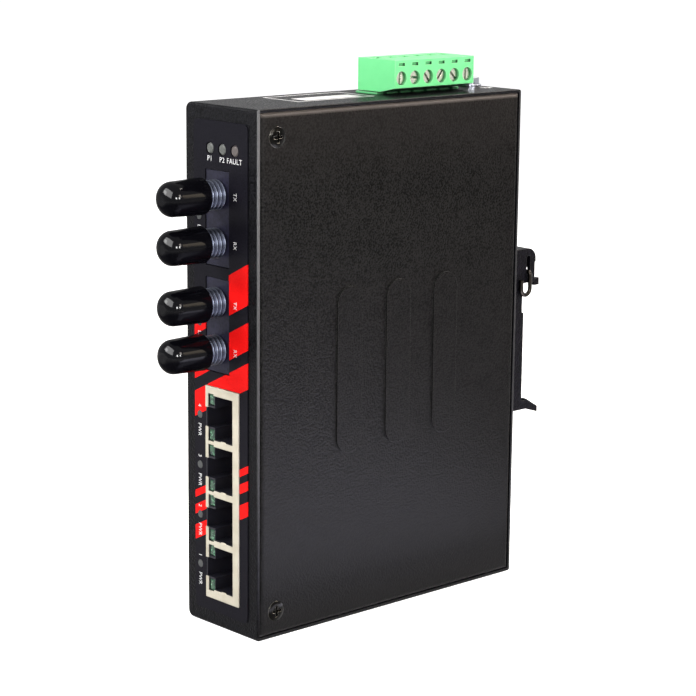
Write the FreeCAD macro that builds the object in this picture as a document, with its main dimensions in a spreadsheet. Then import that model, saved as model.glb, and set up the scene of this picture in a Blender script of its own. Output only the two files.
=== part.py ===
"""Rail-mounted industrial power-over-network switch, as a parametric FreeCAD document.

Millimetres, +Z up, the connector side faces -Y. The origin is the centre of the case's bottom face.
Every driving size is a cell of the spreadsheet; each sub-part is bound to the cells by expressions.
"""
import FreeCAD, Part
import os
import Sketcher

os.makedirs("parts", exist_ok=True)
doc = FreeCAD.newDocument("rail_switch")
Vector = FreeCAD.Vector

SIZES = {
    # Folded steel case: tray and side cover
    "case_width": 30.0,
    "case_depth": 97.5,
    "case_height": 142.0,
    "sheet_gauge": 0.8,
    "tray_bend": 2.0,
    "tray_fold": 0.7,
    "tray_rim": 0.3,
    "cover_stand": 0.2,
    "cover_bend": 1.5,
    "cover_clearance": 0.08,
    "bead_length": 46.0,
    "bead_width": 9.0,
    "bead_rise": 0.5,
    "bead_pitch": 18.0,
    "bead_shift": 1.25,
    "bead_drop": 1.0,
    "lug_clear": 0.3,
    "lug_reach": 9.0,
    "lug_span": 8.0,
    "lug_gap": 0.5,
    # Machine screws and their holes
    "screw_radius": 1.45,
    "thread_gap": 0.1,
    "countersink_radius": 2.75,
    "cover_screw_short": 0.9,
    "cover_screw_inset": 7.4,
    "cover_screw_setback": 6.4,
    "cross_width": 0.7,
    "cross_span": 3.0,
    "cross_depth": 0.9,
    "head_rise": 0.35,
    "pan_radius": 2.75,
    "pan_height": 1.9,
    # Printed front label
    "label_thickness": 0.25,
    "label_margin": 3.95,
    "label_inset": 4.1,
    "label_corner": 1.5,
    "window_gap": 0.15,
    # Circuit board on standoffs
    "standoff_length": 5.75,
    "standoff_radius": 2.6,
    "standoff_setback": 40.75,
    "standoff_inset": 10.75,
    "standoff_low": 9.0,
    "standoff_high": 16.0,
    "board_thickness": 1.6,
    "board_setback": 5.0,
    "board_back_gap": 4.0,
    "board_end_gap": 3.0,
    # Ganged network jack
    "jack_width": 13.8,
    "jack_end": 1.535,
    "jack_depth": 21.5,
    "jack_stand": 0.6,
    "jack_rise": 0.7,
    "jack_bottom": 7.9,
    "shield_gauge": 0.3,
    "port_pitch": 13.97,
    "port_divider": 1.67,
    "port_height": 10.3,
    "port_margin": 1.05,
    "bay_inset": 0.2,
    "bay_height": 7.7,
    "bay_depth": 14.5,
    "latch_width": 5.4,
    "latch_floor": 0.3,
    "latch_depth": 9.0,
    "lens_web": 0.55,
    "lens_height": 2.4,
    "lens_step": 0.4,
    "lens_depth": 5.0,
    "lens_gap": 0.05,
    "lens_round": 0.8,
    "finger_pitch": 1.02,
    "finger_width": 0.45,
    "finger_gauge": 0.3,
    "finger_setback": 2.0,
    "finger_run": 8.0,
    "finger_reach": 3.0,
    # Fibre modules, barrels and dust caps
    "fibre_stand": 0.7,
    "fibre_height": 9.5,
    "fibre_length": 25.2,
    "fibre_depth": 33.0,
    "jack_gap": 4.25,
    "module_gap": 3.4,
    "foot_radius": 1.0,
    "foot_inset": 2.5,
    "optical_pitch": 12.75,
    "thread_crest": 4.05,
    "thread_root": 3.6,
    "thread_pitch": 1.3,
    "tube_radius": 3.45,
    "tube_length": 7.6,
    "ferrule_radius": 1.25,
    "ferrule_depth": 9.0,
    "cap_gap": 0.5,
    "cap_base_radius": 4.9,
    "cap_end_radius": 4.55,
    "cap_length": 12.9,
    "cap_round": 3.5,
    "cap_floor": 5.6,
    # Lamps
    "status_radius": 1.5,
    "status_offset": 2.5,
    "lamp_gap": 4.2,
    "lamp_inset": 9.9,
    "status_length": 9.0,
    "lamp_dome": 0.6,
    "holder_wall": 0.5,
    "holder_gap": 0.23,
    "holder_height": 4.6,
    "holder_depth": 8.0,
    "holder_setback": 2.0,
    "lamp_radius": 1.0,
    "lamp_drop": 0.55,
    "lamp_clearance": 0.4,
    "lamp_base_width": 3.0,
    "lamp_base_height": 1.6,
    "lamp_base_depth": 4.0,
    # Power header, its pins and the pull-out terminal plug
    "pole_pitch": 5.08,
    "header_height": 8.6,
    "header_end": 0.55,
    "header_depth": 12.0,
    "header_rise": 0.5,
    "header_wall": 1.0,
    "header_floor": 3.0,
    "header_inset": 12.82,
    "notch_width": 1.6,
    "notch_depth": 2.0,
    "pin_side": 1.0,
    "pin_gap": 0.1,
    "pin_below": 1.5,
    "pin_top_gap": 2.0,
    "pin_tail": 1.5,
    "plug_seat": 0.2,
    "plug_width": 14.8,
    "plug_height": 8.95,
    "plug_chin": 1.3,
    "plug_throat": 8.8,
    "plug_offset": 0.25,
    "tongue_gap": 0.2,
    "tongue_length": 8.0,
    # Rising-cage clamps inside the plug
    "clamp_height": 4.0,
    "bore_radius": 1.9,
    "clamp_head_radius": 1.75,
    "clamp_head_height": 2.7,
    "clamp_head_sink": 0.8,
    "clamp_slot_width": 0.6,
    "clamp_slot_depth": 1.0,
    "clamp_clearance": 0.2,
    "cage_width": 4.0,
    "cage_height": 4.2,
    "cage_roof": 1.4,
    "cage_floor": 1.1,
    "cage_side": 0.45,
    "clamp_travel": 1.5,
    "wire_space": 3.4,
    "strip_gauge": 0.7,
    "strip_width": 2.4,
    "strip_gap": 0.15,
    "slot_gap": 0.2,
    "entry_width": 3.2,
    "window_width": 2.35,
    "window_height": 0.85,
    "window_depth": 0.6,
    "window_drop": 1.25,
    # Ground screw on the top wall
    "ground_offset": 4.6,
    "ground_setback": 4.0,
    "ground_washer_radius": 3.6,
    "ground_washer_gauge": 0.6,
    "ground_head_radius": 3.0,
    "ground_head_height": 1.9,
    "ground_length": 6.0,
    # Rail clip, wire spring and clip screws
    "clip_width": 26.0,
    "clip_gauge": 1.2,
    "clip_bend": 1.5,
    "clip_shift": 0.6,
    "clip_length": 47.8,
    "clip_rest": 5.1,
    "clip_relief": 0.7,
    "relief_height": 29.0,
    "ear_drop": 10.05,
    "ear_reach": 9.4,
    "ear_round": 3.2,
    "hood_stand": 0.35,
    "hood_drop": 4.1,
    "hood_skirt": 1.9,
    "lip_reach": 1.9,
    "lip_height": 2.1,
    "lip_drop": 1.05,
    "foot_reach": 11.95,
    "foot_drop": 1.55,
    "foot_tip": 1.75,
    "seat_height": 2.65,
    "seat_width": 1.3,
    "seat_lip": 0.5,
    "seat_crest": 0.5,
    "spring_wire": 0.6,
    "spring_bend": 0.9,
    "spring_offset": 6.7,
    "spring_inset": 6.8,
    "spring_drop": 4.8,
    "spring_loop": 1.8,
    "spring_return": 2.7,
    "spring_side_gap": 0.15,
    "spring_travel": 4.0,
    "spring_slot_gap": 0.2,
    "clip_screw_low": 12.0,
    "clip_screw_span": 20.0,
    "clip_screw_length": 5.0,
    # Parts on the board
    "chip_gap": 3.0,
    "power_inset": 14.5,
    "power_gap": 5.25,
    "switch_side": 24.0,
    "switch_height": 1.6,
    "switch_drop": 47.0,
    "controller_side": 10.0,
    "controller_height": 1.2,
    "controller_gap": 17.25,
    "crystal_length": 11.5,
    "crystal_width": 5.0,
    "crystal_height": 3.5,
    "crystal_gap": 9.25,
    "inductor_side": 12.5,
    "inductor_height": 8.0,
    "inductor_gap": 2.5,
    "capacitor_radius": 5.0,
    "capacitor_height": 14.0,
    "capacitor_gap": 4.0,
    "relay_length": 15.0,
    "relay_width": 10.0,
    "relay_height": 10.5,
    "relay_drop": 32.0,
}

PORTS = 4
FINGERS = 8
POLES = 6
RIDGES = 4
BEADS = 3
CLAMP_TURNS = (85, 175, 128, 50, 135, 88)

# Cells that follow from the others: the ports share out the jack, and the gaps between the
# connectors share what height the connectors leave on the front
DERIVED = {
    "jack_length": f"=port_pitch * {PORTS} + jack_end * 2",
    "port_width": "=port_pitch - port_divider",
    "bay_width": "=port_width - bay_inset * 2",
    "lens_width": "=(port_width - latch_width) / 2 - lens_web + lens_step",
    "front_spare": "=case_height - jack_length - fibre_length * 2 - status_radius * 2",
    "front_gaps": "=jack_bottom + jack_gap + module_gap + lamp_gap + lamp_inset",
    "gap_share": "=front_spare / front_gaps",
}

sheet = doc.addObject("Spreadsheet::Sheet", "sizes")
for row, (alias, number) in enumerate({**SIZES, **DERIVED}.items(), start=1):
    sheet.set(f"A{row}", alias)
    sheet.set(f"B{row}", str(number))
    sheet.setAlias(f"B{row}", alias)
doc.recompute()


class Size:
    """A length of the model: the formula that FreeCAD keeps and its value now."""

    def __init__(self, formula, value):
        self.formula = formula
        self.value = value

    def __add__(self, other):
        other = as_size(other)
        return Size(f"({self.formula} + {other.formula})", self.value + other.value)

    def __sub__(self, other):
        other = as_size(other)
        return Size(f"({self.formula} - {other.formula})", self.value - other.value)

    def __mul__(self, other):
        other = as_size(other)
        return Size(f"({self.formula} * {other.formula})", self.value * other.value)

    def __truediv__(self, other):
        other = as_size(other)
        return Size(f"({self.formula} / {other.formula})", self.value / other.value)

    def __neg__(self):
        return Size(f"(0 - {self.formula})", -self.value)


def as_size(number):
    return number if isinstance(number, Size) else Size(str(number), float(number))


class Cells:
    """Reads a cell of the spreadsheet by its alias."""

    def __getattr__(self, alias):
        return Size(f"sizes.{alias}", float(sheet.get(alias)))


cell = Cells()
zero = as_size(0)


# Part primitives and booleans

TURN_TO = {
    "X": FreeCAD.Rotation(Vector(0, 1, 0), 90),
    "Y": FreeCAD.Rotation(Vector(1, 0, 0), -90),
    "Z": FreeCAD.Rotation(),
}


def bind(thing, **formulas):
    for name, size in formulas.items():
        thing.setExpression(name, as_size(size).formula)
    return thing


def put(thing, x, y, z):
    for axis, size in zip("xyz", (x, y, z)):
        thing.setExpression(f"Placement.Base.{axis}", as_size(size).formula)
    return thing


def block(name, x, y, z):
    thing = doc.addObject("Part::Box", name)
    bind(thing, Length=x[1] - x[0], Width=y[1] - y[0], Height=z[1] - z[0])
    return put(thing, x[0], y[0], z[0])


def rod(name, axis, start, length, radius, end_radius=None):
    """A cylinder, or a cone where the far end has a radius of its own."""
    if end_radius is None:
        thing = bind(doc.addObject("Part::Cylinder", name), Radius=radius, Height=length)
    else:
        thing = doc.addObject("Part::Cone", name)
        bind(thing, Radius1=radius, Radius2=end_radius, Height=length)
    thing.Placement.Rotation = TURN_TO[axis]
    return put(thing, *start)


def fuse(name, pieces):
    thing = doc.addObject("Part::MultiFuse", name)
    thing.Shapes = pieces
    return thing


def cut(name, base, tools):
    thing = doc.addObject("Part::Cut", name)
    thing.Base = base
    thing.Tool = tools[0] if len(tools) == 1 else fuse(f"{name}_tools", tools)
    return thing


def group(name, pieces):
    thing = doc.addObject("Part::Compound", name)
    thing.Links = pieces
    return thing


# PartDesign bodies: sketches with every point tied to the sheet, pads, pockets, turned shapes

def span(low, high):
    return (as_size(low), as_size(high))


def around(middle, width):
    return (middle - width / 2, middle + width / 2)


def outline(*points):
    return ("outline", points)


def rect(u, v):
    return outline((u[0], v[0]), (u[1], v[0]), (u[1], v[1]), (u[0], v[1]))


def disc(u, v, radius):
    return ("disc", (u, v, radius))


def stadium(u, low, high, radius):
    return ("stadium", (u, low, high, radius))


def tie(sketch, kind, geometry, point, size):
    size = as_size(size)
    place = (-1, 1, geometry, point) if kind.startswith("Distance") else (geometry,)
    number = sketch.addConstraint(Sketcher.Constraint(kind, *place, size.value))
    sketch.setExpression(f"Constraints[{number}]", size.formula)


def draw_outline(sketch, points):
    first = sketch.GeometryCount
    count = len(points)
    spots = [Vector(as_size(u).value, as_size(v).value, 0) for u, v in points]
    for i in range(count):
        sketch.addGeometry(Part.LineSegment(spots[i], spots[(i + 1) % count]), False)
    for i in range(count):
        sketch.addConstraint(Sketcher.Constraint("Coincident", first + i, 2, first + (i + 1) % count, 1))
    for i, (u, v) in enumerate(points):
        tie(sketch, "DistanceX", first + i, 1, u)
        tie(sketch, "DistanceY", first + i, 1, v)


def draw_disc(sketch, place):
    u, v, radius = (as_size(size) for size in place)
    circle = Part.Circle(Vector(u.value, v.value, 0), Vector(0, 0, 1), radius.value)
    number = sketch.addGeometry(circle, False)
    tie(sketch, "DistanceX", number, 3, u)
    tie(sketch, "DistanceY", number, 3, v)
    tie(sketch, "Radius", number, 0, radius)


def draw_stadium(sketch, place):
    """Two half circles, one above the other, joined by two tangent lines."""
    u, low, high, radius = (as_size(size) for size in place)
    up = Vector(0, 0, 1)
    half_turn = 3.141592653589793
    ends = []
    for level, start in ((high, 0.0), (low, half_turn)):
        circle = Part.Circle(Vector(u.value, level.value, 0), up, radius.value)
        ends.append(sketch.addGeometry(Part.ArcOfCircle(circle, start, start + half_turn), False))
    sides = []
    for side, (begin, finish) in ((-1, (high, low)), (1, (low, high))):
        at = u.value + side * radius.value
        line = Part.LineSegment(Vector(at, begin.value, 0), Vector(at, finish.value, 0))
        sides.append(sketch.addGeometry(line, False))
    loop = [ends[0], sides[0], ends[1], sides[1]]
    for i in range(4):
        sketch.addConstraint(Sketcher.Constraint("Tangent", loop[i], 2, loop[(i + 1) % 4], 1))
    sketch.addConstraint(Sketcher.Constraint("Equal", ends[0], ends[1]))
    tie(sketch, "Radius", ends[0], 0, radius)
    for number, level in zip(ends, (high, low)):
        tie(sketch, "DistanceX", number, 3, u)
        tie(sketch, "DistanceY", number, 3, level)


DRAW = {"outline": draw_outline, "disc": draw_disc, "stadium": draw_stadium}


def origin_feature(body, role):
    return next(f for f in body.Origin.OriginFeatures if f.Role == role)


def new_body(name):
    return doc.addObject("PartDesign::Body", name)


def new_sketch(body, name, plane, level, shapes):
    """A sketch on one of the body's own planes, lifted to a level along the plane's axis."""
    sketch = body.newObject("Sketcher::SketchObject", f"{name}_sketch")
    sketch.AttachmentSupport = [(origin_feature(body, f"{plane}_Plane"), "")]
    sketch.MapMode = "FlatFace"
    rise = -level if plane == "XZ" else level
    sketch.setExpression("AttachmentOffset.Base.z", rise.formula)
    for kind, place in shapes:
        DRAW[kind](sketch, place)
    return sketch


def add(body, name, plane, reach, shapes):
    """Pads shapes drawn on a plane from one level of its axis to another."""
    pad = body.newObject("PartDesign::Pad", name)
    pad.Profile = new_sketch(body, name, plane, reach[0], shapes)
    pad.Reversed = plane == "XZ"
    bind(pad, Length=reach[1] - reach[0])
    body.Tip = pad
    doc.recompute()
    return pad


def remove(body, name, plane, reach, shapes):
    """Cuts shapes drawn on a plane from one level of its axis to another."""
    pocket = body.newObject("PartDesign::Pocket", name)
    pocket.Profile = new_sketch(body, name, plane, reach[0], shapes)
    pocket.Reversed = plane != "XZ"
    bind(pocket, Length=reach[1] - reach[0])
    body.Tip = pocket
    doc.recompute()
    return pocket


def round_edges(body, name, radius, chosen):
    """Rounds the edges of the body so far that the test picks."""
    base = body.Tip
    edges = base.Shape.Edges
    picked = [f"Edge{i}" for i, edge in enumerate(edges, start=1) if chosen(edge.BoundBox)]
    fillet = body.newObject("PartDesign::Fillet", name)
    fillet.Base = (base, picked)
    bind(fillet, Radius=radius)
    body.Tip = fillet
    doc.recompute()
    return fillet


def flat_at(low, high, size):
    """True where an edge's box lies wholly at one level."""
    return abs(low - size.value) < 0.001 and abs(high - size.value) < 0.001


TURNED = {"X": ("XY", "H_Axis"), "Y": ("XY", "V_Axis"), "Z": ("XZ", "V_Axis")}


def turned(name, axis, at, profile):
    """A turned body: (along, radius) points about an axis through a point."""
    body = new_body(name)
    plane, line = TURNED[axis]
    points = [(along, radius) if axis == "X" else (radius, along) for along, radius in profile]
    turn = body.newObject("PartDesign::Revolution", f"{name}_turn")
    turn.Profile = new_sketch(body, f"{name}_turn", plane, zero, [outline(*points)])
    turn.ReferenceAxis = (turn.Profile[0], [line])
    turn.Angle = 360
    body.Tip = turn
    put(body, *at)
    doc.recompute()
    return body


# Shared places, worked out from the driving sizes

front = -cell.case_depth / 2
back = cell.case_depth / 2
left = -cell.case_width / 2
right = cell.case_width / 2
top = cell.case_height
gauge = cell.sheet_gauge
tray_edge = right - cell.cover_stand

board_left = left + gauge + cell.standoff_length
board_face = board_left + cell.board_thickness
board_y = (front + cell.board_setback, back - gauge - cell.board_back_gap)
board_z = (gauge + cell.board_end_gap, top - gauge - cell.board_end_gap)
standoff_ys = (front + cell.standoff_setback, back - cell.standoff_inset)
standoff_zs = (cell.standoff_low, top - cell.standoff_high)

jack_base = board_face + cell.jack_rise
jack_x = (jack_base, jack_base + cell.jack_width)
jack_y = (front - cell.jack_stand, front - cell.jack_stand + cell.jack_depth)
jack_low = cell.jack_bottom * cell.gap_share
jack_z = (jack_low, jack_low + cell.jack_length)
first_port = jack_low + (cell.jack_length - cell.port_pitch * (PORTS - 1)) / 2
port_zs = [first_port + cell.port_pitch * i for i in range(PORTS)]
window_x = (jack_base + cell.port_margin, jack_base + cell.port_margin + cell.port_height)
bay_x = (window_x[1] - cell.bay_height, window_x[1])
lens_x = (window_x[0], window_x[0] + cell.lens_height)

fibre_x = (board_face + cell.fibre_stand, board_face + cell.fibre_stand + cell.fibre_height)
lower_fibre = jack_z[1] + cell.jack_gap * cell.gap_share + cell.fibre_length / 2
upper_fibre = lower_fibre + cell.fibre_length + cell.module_gap * cell.gap_share
fibre_zs = [upper_fibre, lower_fibre]
optical_x = fibre_x[0] + cell.fibre_height / 2
optical_zs = [z + cell.optical_pitch * side for z in fibre_zs for side in (0.5, -0.5)]

lug_root = jack_x[1] + cell.lug_clear
holder_x = (board_face, lug_root - cell.holder_gap)
first_status = board_face + cell.status_offset
last_status = holder_x[1] - cell.holder_wall - cell.status_radius
status_xs = [first_status, (first_status + last_status) / 2, last_status]
status_z = top - cell.lamp_inset * cell.gap_share - cell.status_radius
lamp_x = board_left - cell.lamp_drop
lamp_zs = port_zs + fibre_zs

plug_y = (back - cell.header_inset - cell.pole_pitch * POLES, back - cell.header_inset)
header_y = (plug_y[0] - cell.header_end, plug_y[1] + cell.header_end)
header_x = (board_face, board_face + cell.header_height)
header_z = (top + cell.header_rise - cell.header_depth, top + cell.header_rise)
pole_ys = [plug_y[0] + cell.pole_pitch * (i + 0.5) for i in range(POLES)]
pin_x = around(header_x[0] + cell.header_height / 2, cell.pin_side)
pin_foot = header_z[0] - cell.pin_below

ground_x = board_face + cell.ground_offset
ground_y = back - cell.ground_setback

cover_y = (front + gauge + cell.cover_clearance, back - gauge - cell.cover_clearance)
cover_z = (gauge + cell.cover_clearance, top - gauge - cell.cover_clearance)
cover_screw_y = front + cell.cover_screw_setback
cover_screw_zs = (cell.cover_screw_inset, top - cell.cover_screw_inset)
screw_hole = cell.screw_radius + cell.thread_gap

clip_z = around(top / 2 + cell.clip_shift, cell.clip_length)
clip_x = (-cell.clip_width / 2, cell.clip_width / 2)
clip_screw_zs = (clip_z[0] + cell.clip_screw_low, clip_z[0] + cell.clip_screw_low + cell.clip_screw_span)

window = cell.window_gap
jack_window = rect((jack_x[0] - window, jack_x[1] + window), (jack_z[0] - window, jack_z[1] + window))
fibre_window_x = (fibre_x[0] - window, fibre_x[1] + window)
fibre_windows = [rect(fibre_window_x, around(z, cell.fibre_length + window * 2)) for z in fibre_zs]
status_holes = [disc(x, status_z, cell.status_radius + cell.thread_gap) for x in status_xs]
lamp_holes = [disc(lamp_x, z, cell.lamp_radius + cell.thread_gap) for z in lamp_zs]
front_openings = [jack_window] + fibre_windows + status_holes + lamp_holes

nodes = {}


# Folded tray: the left side with the front, top, bottom and back walls, and two welded screw lugs

tray = new_body("housing_tray")
add(tray, "tray_block", "XY", span(zero, top), [rect((left, tray_edge), (front, back))])
round_edges(tray, "tray_bends", cell.tray_bend,
            lambda box: flat_at(box.XMin, box.XMax, left) and box.YLength > box.ZLength)
round_edges(tray, "tray_folds", cell.tray_fold,
            lambda box: flat_at(box.XMin, box.XMax, left) and box.ZLength > box.YLength)
round_edges(tray, "tray_rims", cell.tray_rim, lambda box: flat_at(box.XMin, box.XMax, tray_edge))
tray_floor = left + gauge
tray_inside = rect((front + gauge, back - gauge), (gauge, top - gauge))
remove(tray, "tray_hollow", "YZ", (tray_floor, tray_edge), [tray_inside])
round_edges(tray, "tray_inner_bends", cell.tray_bend - gauge,
            lambda box: flat_at(box.XMin, box.XMax, tray_floor) and box.YLength > box.ZLength)
sink_depth = cell.countersink_radius - cell.screw_radius
lug_top = right - sink_depth - cell.cover_clearance
lug_x = (lug_root, lug_top)
cover_root = right - (right - lug_root) * 2 / 3
lug_shelf = cover_root - cell.lug_gap
lug_end = front + gauge + cell.lug_reach
lug_zs = [around(z, cell.lug_span) for z in cover_screw_zs]
lug_face = cover_y[0] + gauge + cell.cover_clearance
add(tray, "lug_feet", "YZ", (lug_x[0], lug_shelf), [rect((front + gauge, lug_end), z) for z in lug_zs])
add(tray, "lug_heads", "YZ", (lug_shelf, lug_top), [rect((lug_face, lug_end), z) for z in lug_zs])
remove(tray, "lug_holes", "YZ", lug_x, [disc(cover_screw_y, z, screw_hole) for z in cover_screw_zs])
remove(tray, "front_openings", "XZ", (front, front + gauge), front_openings)
header_window = rect((header_x[0] - window, header_x[1] + window), (header_y[0] - window, header_y[1] + window))
remove(tray, "top_openings", "XY", (top - gauge, top), [header_window, disc(ground_x, ground_y, screw_hole)])
remove(tray, "back_holes", "XZ", (back - gauge, back), [disc(zero, z, screw_hole) for z in clip_screw_zs])
nodes["housing_tray"] = tray


# Side cover: a shallow pan whose flanges slip inside the tray, with three pressed stiffening beads

cover = new_body("cover_pan")
cover_inner = right - gauge
add(cover, "cover_block", "YZ", (cover_root, right), [rect(cover_y, cover_z)])
round_edges(cover, "cover_bends", cell.cover_bend, lambda box: flat_at(box.XMin, box.XMax, right))
cover_inside = rect((cover_y[0] + gauge, cover_y[1] - gauge), (cover_z[0] + gauge, cover_z[1] - gauge))
remove(cover, "cover_hollow", "YZ", (cover_root, cover_inner), [cover_inside])
bead_radius = cell.bead_width / 2
bead_reach = cell.bead_length / 2 - bead_radius
bead_middle = top / 2 - cell.bead_drop
beads = []
for i in range(BEADS):
    bead_y = cell.bead_shift + cell.bead_pitch * (i - (BEADS - 1) / 2)
    beads.append((bead_y, bead_middle - bead_reach, bead_middle + bead_reach))
add(cover, "bead_outside", "YZ", (right, right + cell.bead_rise), [stadium(*b, bead_radius) for b in beads])
remove(cover, "bead_inside", "YZ", (cover_inner, cover_inner + cell.bead_rise),
       [stadium(*b, bead_radius - cell.bead_rise) for b in beads])
sink_tools = []
for z in cover_screw_zs:
    place = (right - sink_depth, cover_screw_y, z)
    start = (cover_inner - sink_depth, cover_screw_y, z)
    sink_tools.append(rod("cover_hole", "X", start, gauge + sink_depth * 2, screw_hole))
    sink_tools.append(rod("cover_sink", "X", place, sink_depth, screw_hole,
                          cell.countersink_radius + cell.thread_gap))
nodes["side_cover"] = cut("side_cover", cover, sink_tools)


# Raised countersunk screws with a crossed recess: cover screws along X, clip screws along Y

def flat_screw(name, axis, at, length):
    """The head's rim lies at the point; the shank runs from it against the axis."""
    rise = cell.head_rise
    body = turned(name, axis, at, [
        (rise, zero),
        (rise, cell.countersink_radius / 2),
        (rise * 0.65, cell.countersink_radius * 0.75),
        (zero, cell.countersink_radius),
        (-sink_depth, cell.screw_radius),
        (-length, cell.screw_radius),
        (-length, zero),
    ])
    half = cell.cross_span / 2
    thin = cell.cross_width / 2
    plane = {"X": "YZ", "Y": "XZ"}[axis]
    depth = (rise - cell.cross_depth, rise)
    remove(body, f"{name}_bar", plane, depth, [rect((-half, half), (-thin, thin))])
    remove(body, f"{name}_post", plane, depth, [rect((-thin, thin), (-half, half))])
    return body


nodes["cover_screws"] = group("cover_screws", [
    flat_screw(f"cover_screw_{i}", "X", (right, cover_screw_y, z), right - lug_root - cell.cover_screw_short)
    for i, z in enumerate(cover_screw_zs)
])


# Printed front label, stuck on the front wall, with the same openings as the wall

label = new_body("front_label")
label_x = (left + cell.label_margin, right - cell.label_margin)
label_end = cell.label_inset * cell.gap_share
label_z = (label_end, top - label_end)
add(label, "label_sheet", "XZ", (front - cell.label_thickness, front), [rect(label_x, label_z)] + front_openings)


def at_label_corner(box):
    upright = abs(box.YLength - cell.label_thickness.value) < 0.001
    side = flat_at(box.XMin, box.XMax, label_x[0]) or flat_at(box.XMin, box.XMax, label_x[1])
    return upright and side


round_edges(label, "label_corners", cell.label_corner, at_label_corner)
nodes["front_label"] = label


# Circuit board on four standoffs, held by pan-head screws

board = new_body("main_board")
standoff_holes = [disc(y, z, screw_hole) for y in standoff_ys for z in standoff_zs]
tail_z = pin_foot + cell.pin_side / 2
tail_hole = cell.pin_side / 2 * 1.42 + cell.pin_gap
tail_holes = [disc(y, tail_z, tail_hole) for y in pole_ys]
add(board, "board_sheet", "YZ", (board_left, board_face), [rect(board_y, board_z)] + standoff_holes + tail_holes)
nodes["main_board"] = board

standoffs = []
board_screws = []
for y in standoff_ys:
    for z in standoff_zs:
        post = rod("standoff_post", "X", (tray_floor, y, z), cell.standoff_length, cell.standoff_radius)
        hole = rod("standoff_hole", "X", (tray_floor, y, z), cell.standoff_length, screw_hole)
        standoffs.append(cut("standoff", post, [hole]))
        pan_top = cell.pan_height
        shank = -(cell.standoff_length + cell.board_thickness) + gauge
        screw = turned("board_screw", "X", (board_face, y, z), [
            (pan_top, zero),
            (pan_top, cell.pan_radius),
            (zero, cell.pan_radius),
            (zero, cell.screw_radius),
            (shank, cell.screw_radius),
            (shank, zero),
        ])
        board_screws.append(screw)
nodes["board_standoffs"] = group("board_standoffs", standoffs)
nodes["board_screws"] = group("board_screws", board_screws)


# Parts on the board, standing on its face

chip_y = front + cell.fibre_depth + cell.chip_gap + cell.switch_side / 2
power_y = board_y[1] - cell.power_inset


def on_board(name, y, z, width, length, height):
    x = (board_face, board_face + height)
    return block(name, x, around(y, width), around(z, length))


switch_z = top - cell.switch_drop
crystal_z = switch_z - cell.switch_side / 2 - cell.crystal_gap - cell.crystal_length / 2
controller_z = crystal_z - cell.crystal_length / 2 - cell.controller_gap - cell.controller_side / 2
nodes["switch_chip"] = on_board("switch_chip", chip_y, switch_z,
                                cell.switch_side, cell.switch_side, cell.switch_height)
nodes["clock_crystal"] = on_board("clock_crystal", chip_y, crystal_z,
                                  cell.crystal_width, cell.crystal_length, cell.crystal_height)
nodes["power_controller"] = on_board("power_controller", chip_y, controller_z,
                                     cell.controller_side, cell.controller_side, cell.controller_height)

relay_z = top - cell.relay_drop
inductor_step = cell.inductor_side + cell.inductor_gap
inductor_z = relay_z - cell.relay_length / 2 - cell.power_gap - cell.inductor_side / 2
inductor_zs = (inductor_z, inductor_z - inductor_step)
capacitor_step = cell.capacitor_radius * 2 + cell.capacitor_gap
capacitor_z = inductor_zs[1] - cell.inductor_side / 2 - cell.power_gap - cell.capacitor_radius
nodes["fault_relay"] = on_board("fault_relay", power_y, relay_z,
                                cell.relay_width, cell.relay_length, cell.relay_height)
nodes["power_inductors"] = group("power_inductors", [
    on_board("power_inductor", power_y, z, cell.inductor_side, cell.inductor_side, cell.inductor_height)
    for z in inductor_zs
])
nodes["bulk_capacitors"] = group("bulk_capacitors", [
    rod("bulk_capacitor", "X", (board_face, power_y, capacitor_z - capacitor_step * i),
        cell.capacitor_height, cell.capacitor_radius)
    for i in range(3)
])


# Ganged network jack: tinned shield over a black insert, contact fingers and indicator lenses

shield = new_body("jack_shield")
skin = cell.shield_gauge
inner_x = (jack_base, jack_x[1] - skin)
inner_y = (jack_y[0] + skin, jack_y[1] - skin)
inner_z = (jack_z[0] + skin, jack_z[1] - skin)
add(shield, "shield_block", "YZ", jack_x, [rect(jack_y, jack_z)])
remove(shield, "shield_hollow", "YZ", inner_x, [rect(inner_y, inner_z)])


def port_window(z):
    """The port's opening, wider beside the lenses, with a latch notch out through the board side."""
    low, high = around(z, cell.port_width)
    wide_low, wide_high = around(z, cell.port_width + cell.lens_step * 2)
    notch_low, notch_high = around(z, cell.latch_width)
    outside = jack_base - skin
    return outline((window_x[0], wide_low), (lens_x[1], wide_low), (lens_x[1], low), (window_x[1], low),
                   (window_x[1], high), (lens_x[1], high), (lens_x[1], wide_high), (window_x[0], wide_high),
                   (window_x[0], notch_high), (outside, notch_high), (outside, notch_low),
                   (window_x[0], notch_low))


remove(shield, "port_windows", "XZ", (jack_y[0], inner_y[0]), [port_window(z) for z in port_zs])
nodes["jack_shield"] = shield

insert = new_body("jack_insert")
add(insert, "insert_block", "YZ", inner_x, [rect(inner_y, inner_z)])
post_ys = (board_y[0] + cell.foot_inset, inner_y[1] - cell.foot_inset)
post_zs = (inner_z[0] + cell.foot_inset, inner_z[1] - cell.foot_inset)
posts = [disc(y, z, cell.foot_radius) for y in post_ys for z in post_zs]
add(insert, "insert_posts", "YZ", (board_face, jack_base), posts)
bays = [rect(bay_x, around(z, cell.bay_width)) for z in port_zs]
remove(insert, "plug_bays", "XZ", (inner_y[0], inner_y[0] + cell.bay_depth), bays)
latch_x = (jack_base + cell.latch_floor, bay_x[0])
latches = [rect(latch_x, around(z, cell.latch_width)) for z in port_zs]
remove(insert, "latch_slots", "XZ", (inner_y[0], inner_y[0] + cell.latch_depth), latches)
lens_y = (inner_y[0], inner_y[0] + cell.lens_depth)
lens_zs = []
for z in port_zs:
    lower, upper = around(z, cell.port_width + cell.lens_step * 2)
    lens_zs.append((upper - cell.lens_width, upper))
    lens_zs.append((lower, lower + cell.lens_width))
loose = cell.lens_gap
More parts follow.
